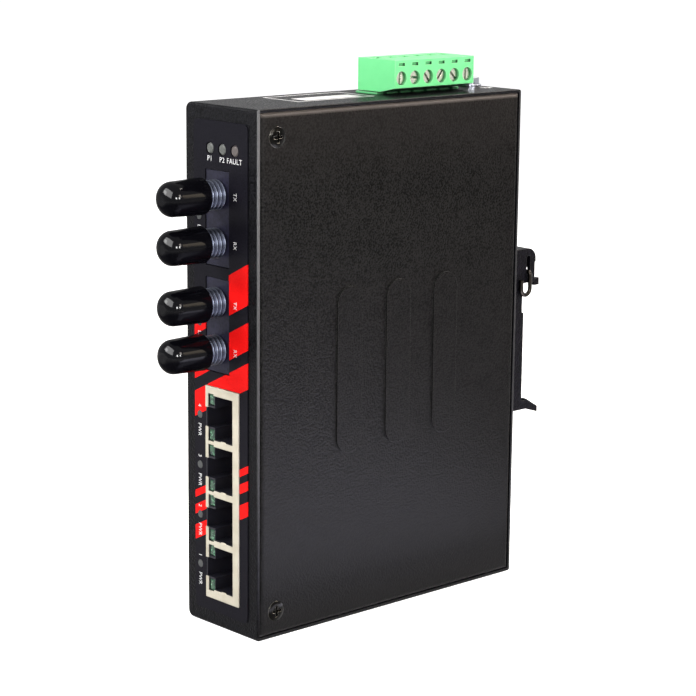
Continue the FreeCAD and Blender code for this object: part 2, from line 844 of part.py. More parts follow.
lens_beds = [rect((lens_x[0] - loose, lens_x[1] + loose), (z[0] - loose, z[1] + loose)) for z in lens_zs]
remove(insert, "lens_beds", "XZ", (lens_y[0], lens_y[1] + loose), lens_beds)
nodes["jack_insert"] = insert
lenses = []
for i, z in enumerate(lens_zs):
    lens = new_body(f"jack_lens_{i}")
    add(lens, f"lens_pipe_{i}", "XZ", lens_y, [rect(lens_x, z)])
    round_edges(lens, f"lens_dome_{i}", cell.lens_round, lambda box: flat_at(box.YMin, box.YMax, lens_y[0]))
    lenses.append(lens)
nodes["jack_lenses"] = group("jack_lenses", lenses)

fingers = new_body("jack_contacts")
wall = bay_x[1]
strip = cell.finger_gauge
root = inner_y[0] + cell.finger_setback
tip = root + cell.finger_run
finger_z = around(port_zs[0] - cell.finger_pitch * ((FINGERS - 1) / 2), cell.finger_width)
finger_pad = add(fingers, "finger", "XY", finger_z, [outline(
    (wall, root), (wall - strip, root), (wall - strip, root + strip * 2),
    (wall - cell.finger_reach, tip), (wall - cell.finger_reach, tip + strip * 2),
    (wall - cell.finger_reach + strip, tip + strip * 2), (wall, root + strip * 4))])
rows = fingers.newObject("PartDesign::LinearPattern", "finger_rows")
rows.Originals = [finger_pad]
rows.Direction = (origin_feature(fingers, "Z_Axis"), [""])
rows.Occurrences = FINGERS
bind(rows, Length=cell.finger_pitch * (FINGERS - 1))
rows.Direction2 = (origin_feature(fingers, "Z_Axis"), [""])
rows.Occurrences2 = PORTS
bind(rows, Length2=cell.port_pitch * (PORTS - 1))
fingers.Tip = rows
nodes["jack_contacts"] = fingers


# Fibre modules with threaded barrels, and the pull-off dust caps

for name, z in zip(("upper", "lower"), fibre_zs):
    module = new_body(f"fibre_module_{name}")
    module_y = (front, front + cell.fibre_depth)
    module_z = around(z, cell.fibre_length)
    add(module, f"module_block_{name}", "YZ", fibre_x, [rect(module_y, module_z)])
    foot_ys = (board_y[0] + cell.foot_inset, module_y[1] - cell.foot_inset)
    foot_zs = (module_z[0] + cell.foot_inset, module_z[1] - cell.foot_inset)
    feet = [disc(y, foot_z, cell.foot_radius) for y in foot_ys for foot_z in foot_zs]
    add(module, f"module_feet_{name}", "YZ", (board_face, fibre_x[0]), feet)
    nodes[f"fibre_module_{name}"] = module

thread_end = front - cell.thread_pitch * RIDGES
tube_end = thread_end - cell.tube_length
cap_base = thread_end - cell.cap_gap
cap_tip = cap_base - cell.cap_length
cap_bore = cell.tube_radius + cell.thread_gap
for i, z in enumerate(optical_zs, start=1):
    profile = [(front, zero), (front, cell.thread_root)]
    for ridge in range(RIDGES):
        crest = front - cell.thread_pitch * (ridge + 0.5)
        valley = front - cell.thread_pitch * (ridge + 1)
        profile += [(crest, cell.thread_crest), (valley, cell.thread_root)]
    profile += [
        (thread_end, cell.tube_radius),
        (tube_end, cell.tube_radius),
        (tube_end, cell.ferrule_radius),
        (tube_end + cell.ferrule_depth, cell.ferrule_radius),
        (tube_end + cell.ferrule_depth, zero),
    ]
    nodes[f"fibre_barrel_{i}"] = turned(f"fibre_barrel_{i}", "Y", (optical_x, zero, z), profile)
    cap = turned(f"dust_cap_{i}", "Y", (optical_x, zero, z), [
        (cap_base, cap_bore),
        (cap_base, cell.cap_base_radius),
        (cap_tip, cell.cap_end_radius),
        (cap_tip, zero),
        (cap_tip + cell.cap_floor, zero),
        (cap_tip + cell.cap_floor, cap_bore),
    ])
    round_edges(cap, f"cap_dome_{i}", cell.cap_round, lambda box: flat_at(box.YMin, box.YMax, cap_tip))
    nodes[f"dust_cap_{i}"] = cap


# Lamps: three status lamps in a holder on the board, six port lamps on the board's other side

lamp_face = front - cell.label_thickness
status_lamps = []
holder_tools = []
holder_y = (front + cell.holder_setback, front + cell.holder_setback + cell.holder_depth)
for i, x in enumerate(status_xs):
    lamp = turned(f"status_lamp_{i}", "Y", (x, zero, status_z), [
        (lamp_face, zero),
        (lamp_face, cell.status_radius),
        (lamp_face + cell.status_length, cell.status_radius),
        (lamp_face + cell.status_length, zero),
    ])
    round_edges(lamp, f"status_dome_{i}", cell.lamp_dome, lambda box: flat_at(box.YMin, box.YMax, lamp_face))
    status_lamps.append(lamp)
    bore = rod("holder_bore", "Y", (x, holder_y[0], status_z), cell.holder_depth,
               cell.status_radius + cell.lens_gap)
    holder_tools.append(bore)
nodes["status_lamps"] = group("status_lamps", status_lamps)
holder = block("holder_block", holder_x, holder_y, around(status_z, cell.holder_height))
nodes["lamp_holder"] = cut("lamp_holder", holder, holder_tools)

port_lamps = []
lamp_length = cell.board_setback - cell.lamp_clearance + cell.label_thickness
base_y = (front + cell.board_setback - cell.lamp_clearance * 2,
          front + cell.board_setback - cell.lamp_clearance * 2 + cell.lamp_base_depth)
for z in lamp_zs:
    pipe = rod("lamp_pipe", "Y", (lamp_x, lamp_face, z), lamp_length, cell.lamp_radius)
    foot = block("lamp_foot", (board_left - cell.lamp_base_height, board_left), base_y,
                 around(z, cell.lamp_base_width))
    port_lamps.append(fuse("port_lamp", [pipe, foot]))
nodes["port_lamps"] = group("port_lamps", port_lamps)


# Power header: a shroud open at the top, notched along its outer rim, with six bent pins

header = new_body("power_header")
rim = cell.header_wall
cavity_x = (header_x[0] + rim, header_x[1] - rim)
cavity_y = (header_y[0] + rim, header_y[1] - rim)
cavity_floor = header_z[0] + cell.header_floor
add(header, "header_block", "XY", header_z, [rect(header_x, header_y)])
remove(header, "header_cavity", "XY", (cavity_floor, header_z[1]), [rect(cavity_x, cavity_y)])
pin_slack = cell.pin_gap
slot_x = (pin_x[0] - pin_slack, pin_x[1] + pin_slack)
pin_slots = [rect(slot_x, around(y, cell.pin_side + pin_slack * 2)) for y in pole_ys]
remove(header, "pin_slots", "XY", (header_z[0], cavity_floor), pin_slots)
notches = [rect((cavity_x[1], header_x[1]), around(y, cell.notch_width)) for y in pole_ys]
remove(header, "rim_notches", "XY", (header_z[1] - cell.notch_depth, header_z[1]), notches)
nodes["power_header"] = header

pins = []
pin_tip = header_z[1] - cell.pin_top_gap
tail_end = board_left - cell.pin_tail
for i, y in enumerate(pole_ys):
    pin = new_body(f"header_pin_{i}")
    bent = outline((tail_end, pin_foot), (pin_x[1], pin_foot), (pin_x[1], pin_tip), (pin_x[0], pin_tip),
                   (pin_x[0], pin_foot + cell.pin_side), (tail_end, pin_foot + cell.pin_side))
    add(pin, f"pin_bend_{i}", "XZ", around(y, cell.pin_side), [bent])
    pins.append(pin)
nodes["header_pins"] = group("header_pins", pins)


# Terminal plug: screw face to +X, wire entries on top, tongue down in the header

plug_z = (header_z[1] + cell.plug_seat, header_z[1] + cell.plug_seat + cell.plug_height)
plug_x = (board_face + cell.plug_offset, board_face + cell.plug_offset + cell.plug_width)
plug_throat = plug_x[0] + cell.plug_throat
tongue_x = (cavity_x[0] + cell.tongue_gap, cavity_x[1] - cell.tongue_gap)
tongue_y = (cavity_y[0] + cell.tongue_gap, cavity_y[1] - cell.tongue_gap)
tongue_low = plug_z[0] - cell.tongue_length
clamp_z = plug_z[0] + cell.clamp_height
head_x = (plug_x[1] - cell.clamp_head_sink - cell.clamp_head_height, plug_x[1] - cell.clamp_head_sink)
cage_top = head_x[0] - cell.clamp_clearance - cell.clamp_travel
cage_inside = cage_top - cell.cage_roof
strip_top = cage_inside - cell.clamp_clearance * 4
strip_x = (strip_top - cell.strip_gauge, strip_top)
cage_floor_top = strip_x[0] - cell.wire_space
cage_x = (cage_floor_top - cell.cage_floor, cage_top)
cage_z = around(clamp_z, cell.cage_height)
room = cell.clamp_clearance
room_x = (cage_x[0] - room, head_x[0])
room_z = (cage_z[0] - room, cage_z[1] + room)
leaf_x = (pin_x[1] + cell.strip_gap, pin_x[1] + cell.strip_gap + cell.strip_gauge)
bridge_z = (room_z[0] - cell.strip_gauge, room_z[0])
shaft_x = (pin_x[0] - cell.slot_gap * 2, leaf_x[1] + cell.slot_gap)
bridge_room_x = (shaft_x[1], strip_x[1] + cell.slot_gap)
slot_width = cell.strip_width + cell.slot_gap * 2

plug = new_body("terminal_plug")
plug_side = outline((plug_x[0], plug_z[0]), (plug_throat, plug_z[0]), (plug_x[1], plug_z[0] + cell.plug_chin),
                    (plug_x[1], plug_z[1]), (plug_x[0], plug_z[1]))
add(plug, "plug_block", "XZ", plug_y, [plug_side])
add(plug, "plug_tongue", "XY", (tongue_low, plug_z[0]), [rect(tongue_x, tongue_y)])
remove(plug, "screw_bores", "YZ", (head_x[0], plug_x[1]), [disc(y, clamp_z, cell.bore_radius) for y in pole_ys])
remove(plug, "cage_rooms", "XY", room_z, [rect(room_x, around(y, cell.cage_width + room * 2)) for y in pole_ys])
entry_x = (cage_floor_top, strip_x[0])
entries = [rect(entry_x, around(y, cell.entry_width)) for y in pole_ys]
remove(plug, "wire_entries", "XY", (room_z[1], plug_z[1]), entries)
shafts = [rect(shaft_x, around(y, slot_width)) for y in pole_ys]
remove(plug, "pin_shafts", "XY", (tongue_low, room_z[0]), shafts)
bridges = [rect(bridge_room_x, around(y, slot_width)) for y in pole_ys]
remove(plug, "bridge_rooms", "XY", (bridge_z[0] - cell.slot_gap, room_z[0]), bridges)
window_z = plug_z[1] - cell.window_drop
plug_windows = [rect(around(y, cell.window_width), around(window_z, cell.window_height)) for y in pole_ys]
remove(plug, "test_windows", "YZ", (plug_x[1] - cell.window_depth, plug_x[1]), plug_windows)
nodes["terminal_plug"] = plug

strips = []
strip_high = room_z[1]
for i, y in enumerate(pole_ys):
    contact = new_body(f"plug_contact_{i}")
    shape = outline((leaf_x[0], tongue_low + cell.slot_gap), (leaf_x[1], tongue_low + cell.slot_gap),
                    (leaf_x[1], bridge_z[0]), (strip_x[1], bridge_z[0]), (strip_x[1], strip_high),
                    (strip_x[0], strip_high), (strip_x[0], bridge_z[1]), (leaf_x[0], bridge_z[1]))
    add(contact, f"plug_contact_strip_{i}", "XZ", around(y, cell.strip_width), [shape])
    strips.append(contact)
nodes["plug_contacts"] = group("plug_contacts", strips)

for i, y in enumerate(pole_ys, start=1):
    screw = turned(f"clamp_screw_{i}", "X", (zero, y, clamp_z), [
        (head_x[1], zero),
        (head_x[1], cell.clamp_head_radius),
        (head_x[0], cell.clamp_head_radius),
        (head_x[0], cell.screw_radius),
        (strip_x[1] + cell.thread_gap, cell.screw_radius),
        (strip_x[1] + cell.thread_gap, zero),
    ])
    slot_half = cell.clamp_slot_width / 2
    reach = cell.clamp_head_radius
    remove(screw, f"clamp_slot_{i}", "YZ", (head_x[1] - cell.clamp_slot_depth, head_x[1]),
           [rect((-reach, reach), (-slot_half, slot_half))])
    screw.Placement.Rotation = FreeCAD.Rotation(Vector(1, 0, 0), CLAMP_TURNS[i - 1])
    nodes[f"clamp_screw_{i}"] = screw
    cage = block("cage_block", cage_x, around(y, cell.cage_width), cage_z)
    tunnel = block("cage_tunnel", (cage_floor_top, cage_inside), around(y, cell.cage_width - cell.cage_side * 2),
                   cage_z)
    thread = rod("cage_thread", "X", (cage_inside, y, clamp_z), cell.cage_roof, screw_hole)
    nodes[f"clamp_cage_{i}"] = cut(f"clamp_cage_{i}", cage, [tunnel, thread])


# Ground screw with its washer on the top wall

washer = rod("washer_disc", "Z", (ground_x, ground_y, top), cell.ground_washer_gauge, cell.ground_washer_radius)
washer_hole = rod("washer_hole", "Z", (ground_x, ground_y, top), cell.ground_washer_gauge, screw_hole)
nodes["ground_washer"] = cut("ground_washer", washer, [washer_hole])
seat = top + cell.ground_washer_gauge
ground = turned("ground_screw", "Z", (ground_x, ground_y, zero), [
    (seat + cell.ground_head_height, zero),
    (seat + cell.ground_head_height, cell.ground_head_radius),
    (seat, cell.ground_head_radius),
    (seat, cell.screw_radius),
    (seat - cell.ground_length, cell.screw_radius),
    (seat - cell.ground_length, zero),
])
cross = cell.cross_span / 2
thin = cell.cross_width / 2
cross_top = (seat + cell.ground_head_height - cell.cross_depth, seat + cell.ground_head_height)
remove(ground, "ground_bar", "XY", cross_top, [rect((-cross, cross), (-thin, thin))])
remove(ground, "ground_post", "XY", cross_top, [rect((-thin, thin), (-cross, cross))])
nodes["ground_screw"] = ground


# Rail clip: a folded channel whose two profile-cut flanges hook over a 35 mm rail, with the back
# plate's top edge bent over and down between the ears as a hood

clip = new_body("clip_channel")
add(clip, "clip_plate", "XZ", (back, back + cell.clip_gauge), [rect(clip_x, clip_z)])
rest = back + cell.clip_rest
relief = rest - cell.clip_relief
relief_z = clip_z[0] + cell.relief_height
ear_z = clip_z[1] - cell.ear_drop
ear_y = back + cell.ear_reach
lip_y = ear_y + cell.lip_reach
lip_z = (ear_z - cell.lip_drop, ear_z - cell.lip_drop + cell.lip_height)
seat_z = clip_z[0] + cell.seat_height
seat_y = rest + cell.seat_width
foot_y = back + cell.foot_reach
flange = outline(
    (back, clip_z[0]), (seat_y + cell.seat_crest, clip_z[0]), (foot_y, clip_z[0] - cell.foot_drop),
    (foot_y, clip_z[0] - cell.foot_drop + cell.foot_tip), (seat_y + cell.seat_crest, seat_z + cell.seat_lip),
    (seat_y, seat_z + cell.seat_lip), (seat_y, seat_z), (rest, seat_z), (rest, relief_z), (relief, relief_z),
    (relief, ear_z), (ear_y, ear_z), (ear_y, lip_z[0]), (lip_y, lip_z[0]), (lip_y, lip_z[1]),
    (ear_y, lip_z[1]), (ear_y, clip_z[1] - cell.ear_round), (ear_y - cell.ear_round, clip_z[1]),
    (back, clip_z[1]))
add(clip, "clip_flange_right", "YZ", (clip_x[1] - cell.clip_gauge, clip_x[1]), [flange])
add(clip, "clip_flange_left", "YZ", (clip_x[0], clip_x[0] + cell.clip_gauge), [flange])
hood_y = ear_y + cell.hood_stand
hood_face = hood_y - cell.clip_gauge
hood_roof = clip_z[1] - cell.clip_gauge
hood_step = clip_z[1] - cell.hood_drop
hood_end = hood_step - cell.hood_skirt
add(clip, "clip_hood", "YZ", clip_x, [outline(
    (back, clip_z[1]), (hood_y, clip_z[1]), (hood_y, hood_step), (ear_y, hood_step), (ear_y, hood_end),
    (hood_face, hood_end), (hood_face, clip_z[1] - cell.ear_round), (hood_y - cell.ear_round, hood_roof),
    (back, hood_roof))])
spring_z = clip_z[1] - cell.spring_inset
spring_y = back + cell.spring_offset
wire = cell.spring_wire
slot_slack = cell.spring_slot_gap
slot_radius = wire + slot_slack
remove(clip, "spring_slots", "YZ", clip_x, [stadium(spring_y, spring_z, spring_z + cell.spring_travel, slot_radius)])


def at_hood_corner(box):
    return flat_at(box.YMin, box.YMax, hood_y) and flat_at(box.ZMin, box.ZMax, clip_z[1])


def at_clip_bend(box):
    side = flat_at(box.XMin, box.XMax, clip_x[0]) or flat_at(box.XMin, box.XMax, clip_x[1])
    return side and flat_at(box.YMin, box.YMax, back)


round_edges(clip, "hood_corner", cell.ear_round, at_hood_corner)
round_edges(clip, "clip_bends", cell.clip_bend, at_clip_bend)
clip_tools = []
clip_face = back + cell.clip_gauge
for z in clip_screw_zs:
    clip_tools.append(rod("clip_hole", "Y", (zero, back, z), cell.clip_gauge, screw_hole))
    clip_tools.append(rod("clip_sink", "Y", (zero, clip_face - sink_depth, z), sink_depth, screw_hole,
                          cell.countersink_radius + cell.thread_gap))
nodes["rail_clip"] = cut("rail_clip", clip, clip_tools)
nodes["clip_screws"] = group("clip_screws", [
    flat_screw(f"clip_screw_{i}", "Y", (zero, clip_face, z), cell.clip_screw_length)
    for i, z in enumerate(clip_screw_zs)
])


# Wire spring: a cross bar through the flange slots, with a loop hanging outside each flange

def wire_bend(name, centre, bend, rotation, sweep):
    thing = doc.addObject("Part::Torus", name)
    bind(thing, Radius1=bend, Radius2=wire)
    thing.Angle3 = sweep
    thing.Placement.Rotation = rotation
    return put(thing, *centre)


side_x = clip_x[1] + cell.spring_side_gap + wire
bend = cell.spring_bend
bar_x = (-(side_x - bend), side_x - bend)
leg_top = spring_z - bend
loop_z = spring_z - cell.spring_drop
loop = cell.spring_loop
wires = [rod("spring_bar", "X", (bar_x[0], spring_y, spring_z), bar_x[1] - bar_x[0], wire)]
for side, x, corner in ((1, side_x, bar_x[1]), (-1, -side_x, bar_x[0])):
    facing = FreeCAD.Rotation(Vector(1, 0, 0), 90)
    if side < 0:
        facing = FreeCAD.Rotation(Vector(0, 0, 1), 180).multiply(facing)
    wires.append(wire_bend("spring_corner", (corner, spring_y, leg_top), bend, facing, 90))
    wires.append(rod("spring_leg", "Z", (x, spring_y, loop_z), leg_top - loop_z, wire))
    under = FreeCAD.Rotation(Vector(0, 1, 0), Vector(0, 0, -1), Vector(-1, 0, 0), "XYZ")
    wires.append(wire_bend("spring_loop", (x, spring_y - loop, loop_z), loop, under, 180))
    wires.append(rod("spring_return", "Z", (x, spring_y - loop * 2, loop_z), cell.spring_return, wire))
nodes["rail_spring"] = fuse("rail_spring", wires)


# Labels, checks and the STEP files

doc.recompute()
for name, thing in nodes.items():
    thing.Label = name
for thing in doc.Objects:
    state = thing.State
    if "Invalid" in state or "Error" in state:
        raise RuntimeError(f"{thing.Name} did not build: {state}")
for name, thing in nodes.items():
    if thing.Shape.isNull() or not thing.Shape.isValid():
        raise RuntimeError(f"{name} has no valid shape")
    thing.Shape.exportStep(f"parts/{name}.step")
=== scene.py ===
import math

import bmesh
import bpy
from mathutils import Matrix, Vector


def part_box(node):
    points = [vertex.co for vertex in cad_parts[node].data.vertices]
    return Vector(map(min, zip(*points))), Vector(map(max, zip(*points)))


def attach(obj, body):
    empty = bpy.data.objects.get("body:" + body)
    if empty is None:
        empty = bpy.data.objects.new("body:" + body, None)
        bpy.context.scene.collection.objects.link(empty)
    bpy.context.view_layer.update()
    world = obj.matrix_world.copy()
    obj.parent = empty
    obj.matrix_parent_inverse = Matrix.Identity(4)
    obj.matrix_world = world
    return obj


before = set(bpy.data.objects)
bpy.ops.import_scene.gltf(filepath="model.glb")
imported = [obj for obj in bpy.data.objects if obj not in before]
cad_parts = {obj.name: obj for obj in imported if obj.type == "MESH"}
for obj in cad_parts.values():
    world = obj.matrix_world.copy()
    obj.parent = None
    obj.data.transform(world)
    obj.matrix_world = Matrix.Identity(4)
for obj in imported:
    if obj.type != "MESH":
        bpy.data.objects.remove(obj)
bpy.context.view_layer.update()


# Folded tray: one sheet of 0.8 mm steel bent into five walls of the case and spot welded at the corners.
# It is powder coated black, a pebbled paint whose line along each edge is paler and glossier: partly thin
# paint, partly painted highlight.

class Signal:
    """A number or colour running through a node tree; each operator adds a Math node."""

    def __init__(self, nodes, socket):
        self.nodes = nodes
        self.socket = socket

    def math(self, operation, first, second):
        return self.nodes.node("ShaderNodeMath", {"operation": operation}, {0: first, 1: second})

    def __add__(self, other):
        return self.math("ADD", self, other)

    def __radd__(self, other):
        return self.math("ADD", other, self)

    def __sub__(self, other):
        return self.math("SUBTRACT", self, other)

    def __rsub__(self, other):
        return self.math("SUBTRACT", other, self)

    def __mul__(self, other):
        return self.math("MULTIPLY", self, other)

    def __rmul__(self, other):
        return self.math("MULTIPLY", other, self)

    def __gt__(self, other):
        return self.math("GREATER_THAN", self, other)

    def __lt__(self, other):
        return self.math("LESS_THAN", self, other)

    def spread(self, low, high):
        """Runs from 0 at low to 1 at high, and stops there."""
        sockets = {"Value": self, "From Min": low, "From Max": high}
        return self.nodes.node("ShaderNodeMapRange", {"clamp": True}, sockets)


class Nodes:
    """A node tree that is written into from one method."""

    def __init__(self, tree):
        self.tree = tree

    def node(self, kind, settings=None, sockets=None, output=0):
        """Adds a node: its settings first, then the values or links of its sockets."""
        made = self.tree.nodes.new(kind)
        for key, value in (settings or {}).items():
            setattr(made, key, value)
        for key, value in (sockets or {}).items():
            self.feed(made.inputs[key], value)
        return Signal(self, made.outputs[output])

    def feed(self, socket, value):
        if isinstance(value, Signal):
            self.tree.links.new(value.socket, socket)
        else:
            socket.default_value = value


class Finish(Nodes):
    """One finish of the switch: a Principled shader with fixed values, fed by nodes where it varies."""

    def __init__(self, name, **fixed):
        self.material = bpy.data.materials.new(name)
        self.material.use_nodes = True
        super().__init__(self.material.node_tree)
        self.shader = self.tree.nodes["Principled BSDF"]
        self.wear(**fixed)

    def wear(self, **inputs):
        for socket, value in inputs.items():
            self.feed(self.shader.inputs[socket.replace("_", " ")], value)
        return self

    def place(self):
        return self.node("ShaderNodeTexCoord", output="Object")

    def normal(self):
        return self.node("ShaderNodeNewGeometry", output="Normal")

    def axis(self, name, vector=None):
        """One part of a vector, or of the place on the piece."""
        return self.node("ShaderNodeSeparateXYZ", None, {0: vector or self.place()}, output=name)

    def noise(self, size, detail=2.0, stretch=(1, 1, 1)):
        """Noise whose lumps are about so many metres across."""
        drawn = self.node("ShaderNodeVectorMath", {"operation": "MULTIPLY"}, {0: self.place(), 1: stretch})
        return self.node("ShaderNodeTexNoise", None, {"Vector": drawn, "Scale": 1 / size, "Detail": detail})

    def mix(self, mask, first, second):
        """The first colour where the mask is 0, the second where it is 1."""
        return self.node("ShaderNodeMix", {"data_type": "RGBA"}, {0: mask, 6: first, 7: second}, output=2)

    def rounded(self, radius):
        """The surface's direction as if its edges were rounded."""
        return self.node("ShaderNodeBevel", {"samples": 6}, {"Radius": radius})

    def edges(self, radius):
        """1 on a sharp edge, falling to 0 at a distance from it."""
        sockets = {0: self.rounded(radius), 1: self.normal()}
        turned = self.node("ShaderNodeVectorMath", {"operation": "DOT_PRODUCT"}, sockets, output="Value")
        return (1 - turned).spread(0.01, 0.2)

    def hollows(self, reach):
        """A mask for painted shade: 1 deep in a recess, 0 on an open face."""
        sockets = {"Distance": reach}
        open_share = self.node("ShaderNodeAmbientOcclusion", {"samples": 8}, sockets, output="AO")
        return (1 - open_share).spread(0.25, 0.70)

    def over(self, mask, colour):
        """Lays another colour over the present one where the mask is 1."""
        under = Signal(self, self.shader.inputs["Base Color"].links[0].from_socket)
        return self.wear(Base_Color=self.mix(mask, under, colour))

    def relief(self, height, depth, edge=0.0):
        """Bump of a real depth in metres, over edges that shade as if rounded."""
        sockets = {"Height": height, "Distance": depth, "Strength": 1.0}
        if edge:
            sockets["Normal"] = self.rounded(edge)
        return self.wear(Normal=self.node("ShaderNodeBump", None, sockets))


def shade(*rgb):
    return (*rgb, 1.0)


def dress(finish, *names):
    """Gives CAD nodes a finish."""
    for name in names:
        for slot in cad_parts[name].material_slots:
            slot.material = finish.material


def powder_coat(name, dark, light, spark):
    """Pebbled paint, paler along each edge: partly thin paint, partly a painted highlight."""
    finish = Finish(name, Specular_IOR_Level=spark, IOR=1.5)
    grain = finish.noise(0.00055, 1.0).spread(0.36, 0.64)
    tone = grain * 0.8 + finish.noise(0.006, 3.0).spread(0.25, 0.75) * 0.2
    finish.wear(Base_Color=finish.mix(tone, dark, light), Roughness=0.30 + tone * 0.18)
    # Painted highlight along every edge, mixed with the paler colour of thin paint there.
    finish.over(finish.edges(0.0004) * 0.12, shade(0.12, 0.115, 0.112))
    return finish.relief(grain, 0.00006, 0.0003)


MM = 0.001
WALL_INSIDE = 48.0 * MM
FLOOR_INSIDE = 0.9 * MM
RIM_LEVEL = 14.5 * MM
RIM_BLEND = 0.1 * MM
RIM_HIGHLIGHT_FADES = 20.0 * MM
RIM_HIGHLIGHT_FULL = 120.0 * MM

case_paint = powder_coat("case_paint", shade(0.0008, 0.0008, 0.0012), shade(0.0046, 0.0046, 0.0064), 0.041)
across, along, up = (case_paint.axis(name) for name in "XYZ")
# Painted highlight on the sheet's cut rim, bluish: it grows brighter up the front edge, and is faint at the
# back and along the bottom.
front_wall = along.spread(RIM_BLEND - WALL_INSIDE, -RIM_BLEND - WALL_INSIDE)
front_rim_highlight = front_wall * up.spread(RIM_HIGHLIGHT_FADES, RIM_HIGHLIGHT_FULL)
back_rim_highlight = along.spread(WALL_INSIDE - RIM_BLEND, WALL_INSIDE + RIM_BLEND) * 0.25
low_rim_highlight = up.spread(FLOOR_INSIDE + RIM_BLEND, FLOOR_INSIDE - RIM_BLEND) * 0.08
rim = across.spread(RIM_LEVEL - RIM_BLEND, RIM_LEVEL + RIM_BLEND)
case_paint.over(rim * (front_rim_highlight + back_rim_highlight + low_rim_highlight), shade(0.120, 0.122, 0.127))
dress(case_paint, "housing_tray")


# Circuit board inside the case: green solder mask on glass fibre, on brass standoffs with steel pan screws.
# It can only be glimpsed, through the jack's openings and the gaps round the connectors.

mask_green = Finish("mask_green", Specular_IOR_Level=0.5)
weave = mask_green.noise(0.0004, 1.0, (1, 0.2, 1))
copper = mask_green.noise(0.003, 0.0, (1, 3, 0.4)) > 0.55
mask_green.wear(Base_Color=mask_green.mix(copper, shade(0.006, 0.05, 0.018), shade(0.015, 0.10, 0.035)),
                Roughness=0.3 + weave * 0.15)
mask_green.relief(copper, 0.00004)
dress(mask_green, "main_board")


def plated(name, colour, rough, grain):
    """Metal with a fine drawn grain in its gloss."""
    finish = Finish(name, Metallic=1.0)
    streak = finish.noise(grain, 2.0, (1, 1, 0.15))
    cloud = finish.noise(grain * 8, 2.0)
    dull = shade(*(part * 0.78 for part in colour))
    finish.wear(Base_Color=finish.mix(cloud, dull, shade(*colour)),
                Roughness=rough + streak * 0.14 - 0.05)
    return finish.relief(streak, 0.000008, 0.00012)


brass = plated("standoff_brass", (0.72, 0.53, 0.24), 0.32, 0.0006)
zinc = plated("bright_zinc", (0.60, 0.61, 0.63), 0.17, 0.0004)
dress(brass, "board_standoffs")
dress(zinc, "board_screws", "clock_crystal")


def moulded(name, dark, light, rough, edge=0.00012, **fixed):
    """Moulded plastic: a faint cloudiness in its colour and a fine spark-eroded texture."""
    finish = Finish(name, **fixed)
    cloud = finish.noise(0.004, 3.0)
    grain = finish.noise(0.0003, 2.0)
    finish.wear(Base_Color=finish.mix(cloud, dark, light), Roughness=rough + grain * 0.12 - 0.06)
    return finish.relief(grain, 0.000012, edge)


chip_black = moulded("chip_black", shade(0.008, 0.008, 0.009), shade(0.016, 0.016, 0.017), 0.5)
dress(chip_black, "switch_chip", "power_controller", "fault_relay")
ferrite = moulded("choke_ferrite", shade(0.035, 0.035, 0.036), shade(0.06, 0.06, 0.06), 0.6)
dress(ferrite, "power_inductors")
can = plated("can_sleeve", (0.5, 0.5, 0.52), 0.3, 0.001)
dress(can, "bulk_capacitors")


# Ganged network jack: a pressed, tin-plated shield round one black moulding with four ports.
# Gold-plated spring fingers lie along one side of each port, two clear green lamp lenses on the other.

tin = Finish("shield_tin", Metallic=0.8)
brushed = tin.noise(0.0005, 3.0, (1, 1, 0.12))
bloom = tin.noise(0.005, 3.0).spread(0.3, 0.7)
tin.wear(Base_Color=tin.mix(bloom, shade(0.305, 0.281, 0.221), shade(0.370, 0.346, 0.284)),
         Roughness=0.36 + brushed * 0.2)
tin.relief(brushed, 0.000006, 0.00015)
dress(tin, "jack_shield")

port_black = moulded("port_black", shade(0.007, 0.007, 0.012), shade(0.012, 0.012, 0.020), 0.42,
                     Specular_IOR_Level=0.15)
dress(port_black, "jack_insert", "lamp_holder")

gold = plated("contact_gold", (0.83, 0.60, 0.22), 0.2, 0.0003)
dress(gold, "jack_contacts", "plug_contacts")

lens = moulded("lens_green", shade(0.016, 0.054, 0.029), shade(0.044, 0.118, 0.070), 0.14,
               Specular_IOR_Level=0.35)
lens.over(lens.noise(0.0011, 2.0).spread(0.50, 0.62), shade(0.012, 0.034, 0.030))
lens.over(lens.noise(0.0007, 1.0).spread(0.56, 0.66), shade(0.092, 0.250, 0.143))
dress(lens, "jack_lenses")


# Latch tabs of the shield: one small tongue is left on the low edge of each port's window.
# It is pressed from the same tin-plated sheet as the shield.

PORTS = (1, 2, 3, 4)
PORT_PITCH = 13.97 * MM
WINDOW_HALF = 6.15 * MM
TAB_BASE = 3.0 * MM
TAB_TIP = 1.6 * MM
TAB_RISE = 0.32 * MM
TAB_OFFSET = 7.4 * MM
TAB_SET_BACK = 0.03 * MM
TAB_THICK = 0.2 * MM


def middle_of(node, axis):
    low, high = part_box(node)
    return (low[axis] + high[axis]) / 2


def port_middle(number):
    """The height of a port's middle; they are counted from the lowest up."""
    return middle_of("jack_shield", 2) + PORT_PITCH * (number - (len(PORTS) + 1) / 2)


def keep_piece(name, solid, finish):
    """Turns a bmesh into a piece of the case."""
    mesh = bpy.data.meshes.new(name)
    bmesh.ops.remove_doubles(solid, verts=solid.verts, dist=1e-7)
    bmesh.ops.recalc_face_normals(solid, faces=solid.faces)
    solid.to_mesh(mesh)
    solid.free()
    mesh.materials.append(finish.material)
    piece = bpy.data.objects.new(name, mesh)
    bpy.context.scene.collection.objects.link(piece)
    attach(piece, "case")


def thicken(sheet, by):
    """Gives a flat sheet a thickness, towards one side."""
    grown = bmesh.ops.extrude_face_region(sheet, geom=list(sheet.faces))
    moved = [part for part in grown["geom"] if isinstance(part, bmesh.types.BMVert)]
    bmesh.ops.translate(sheet, verts=moved, vec=by)


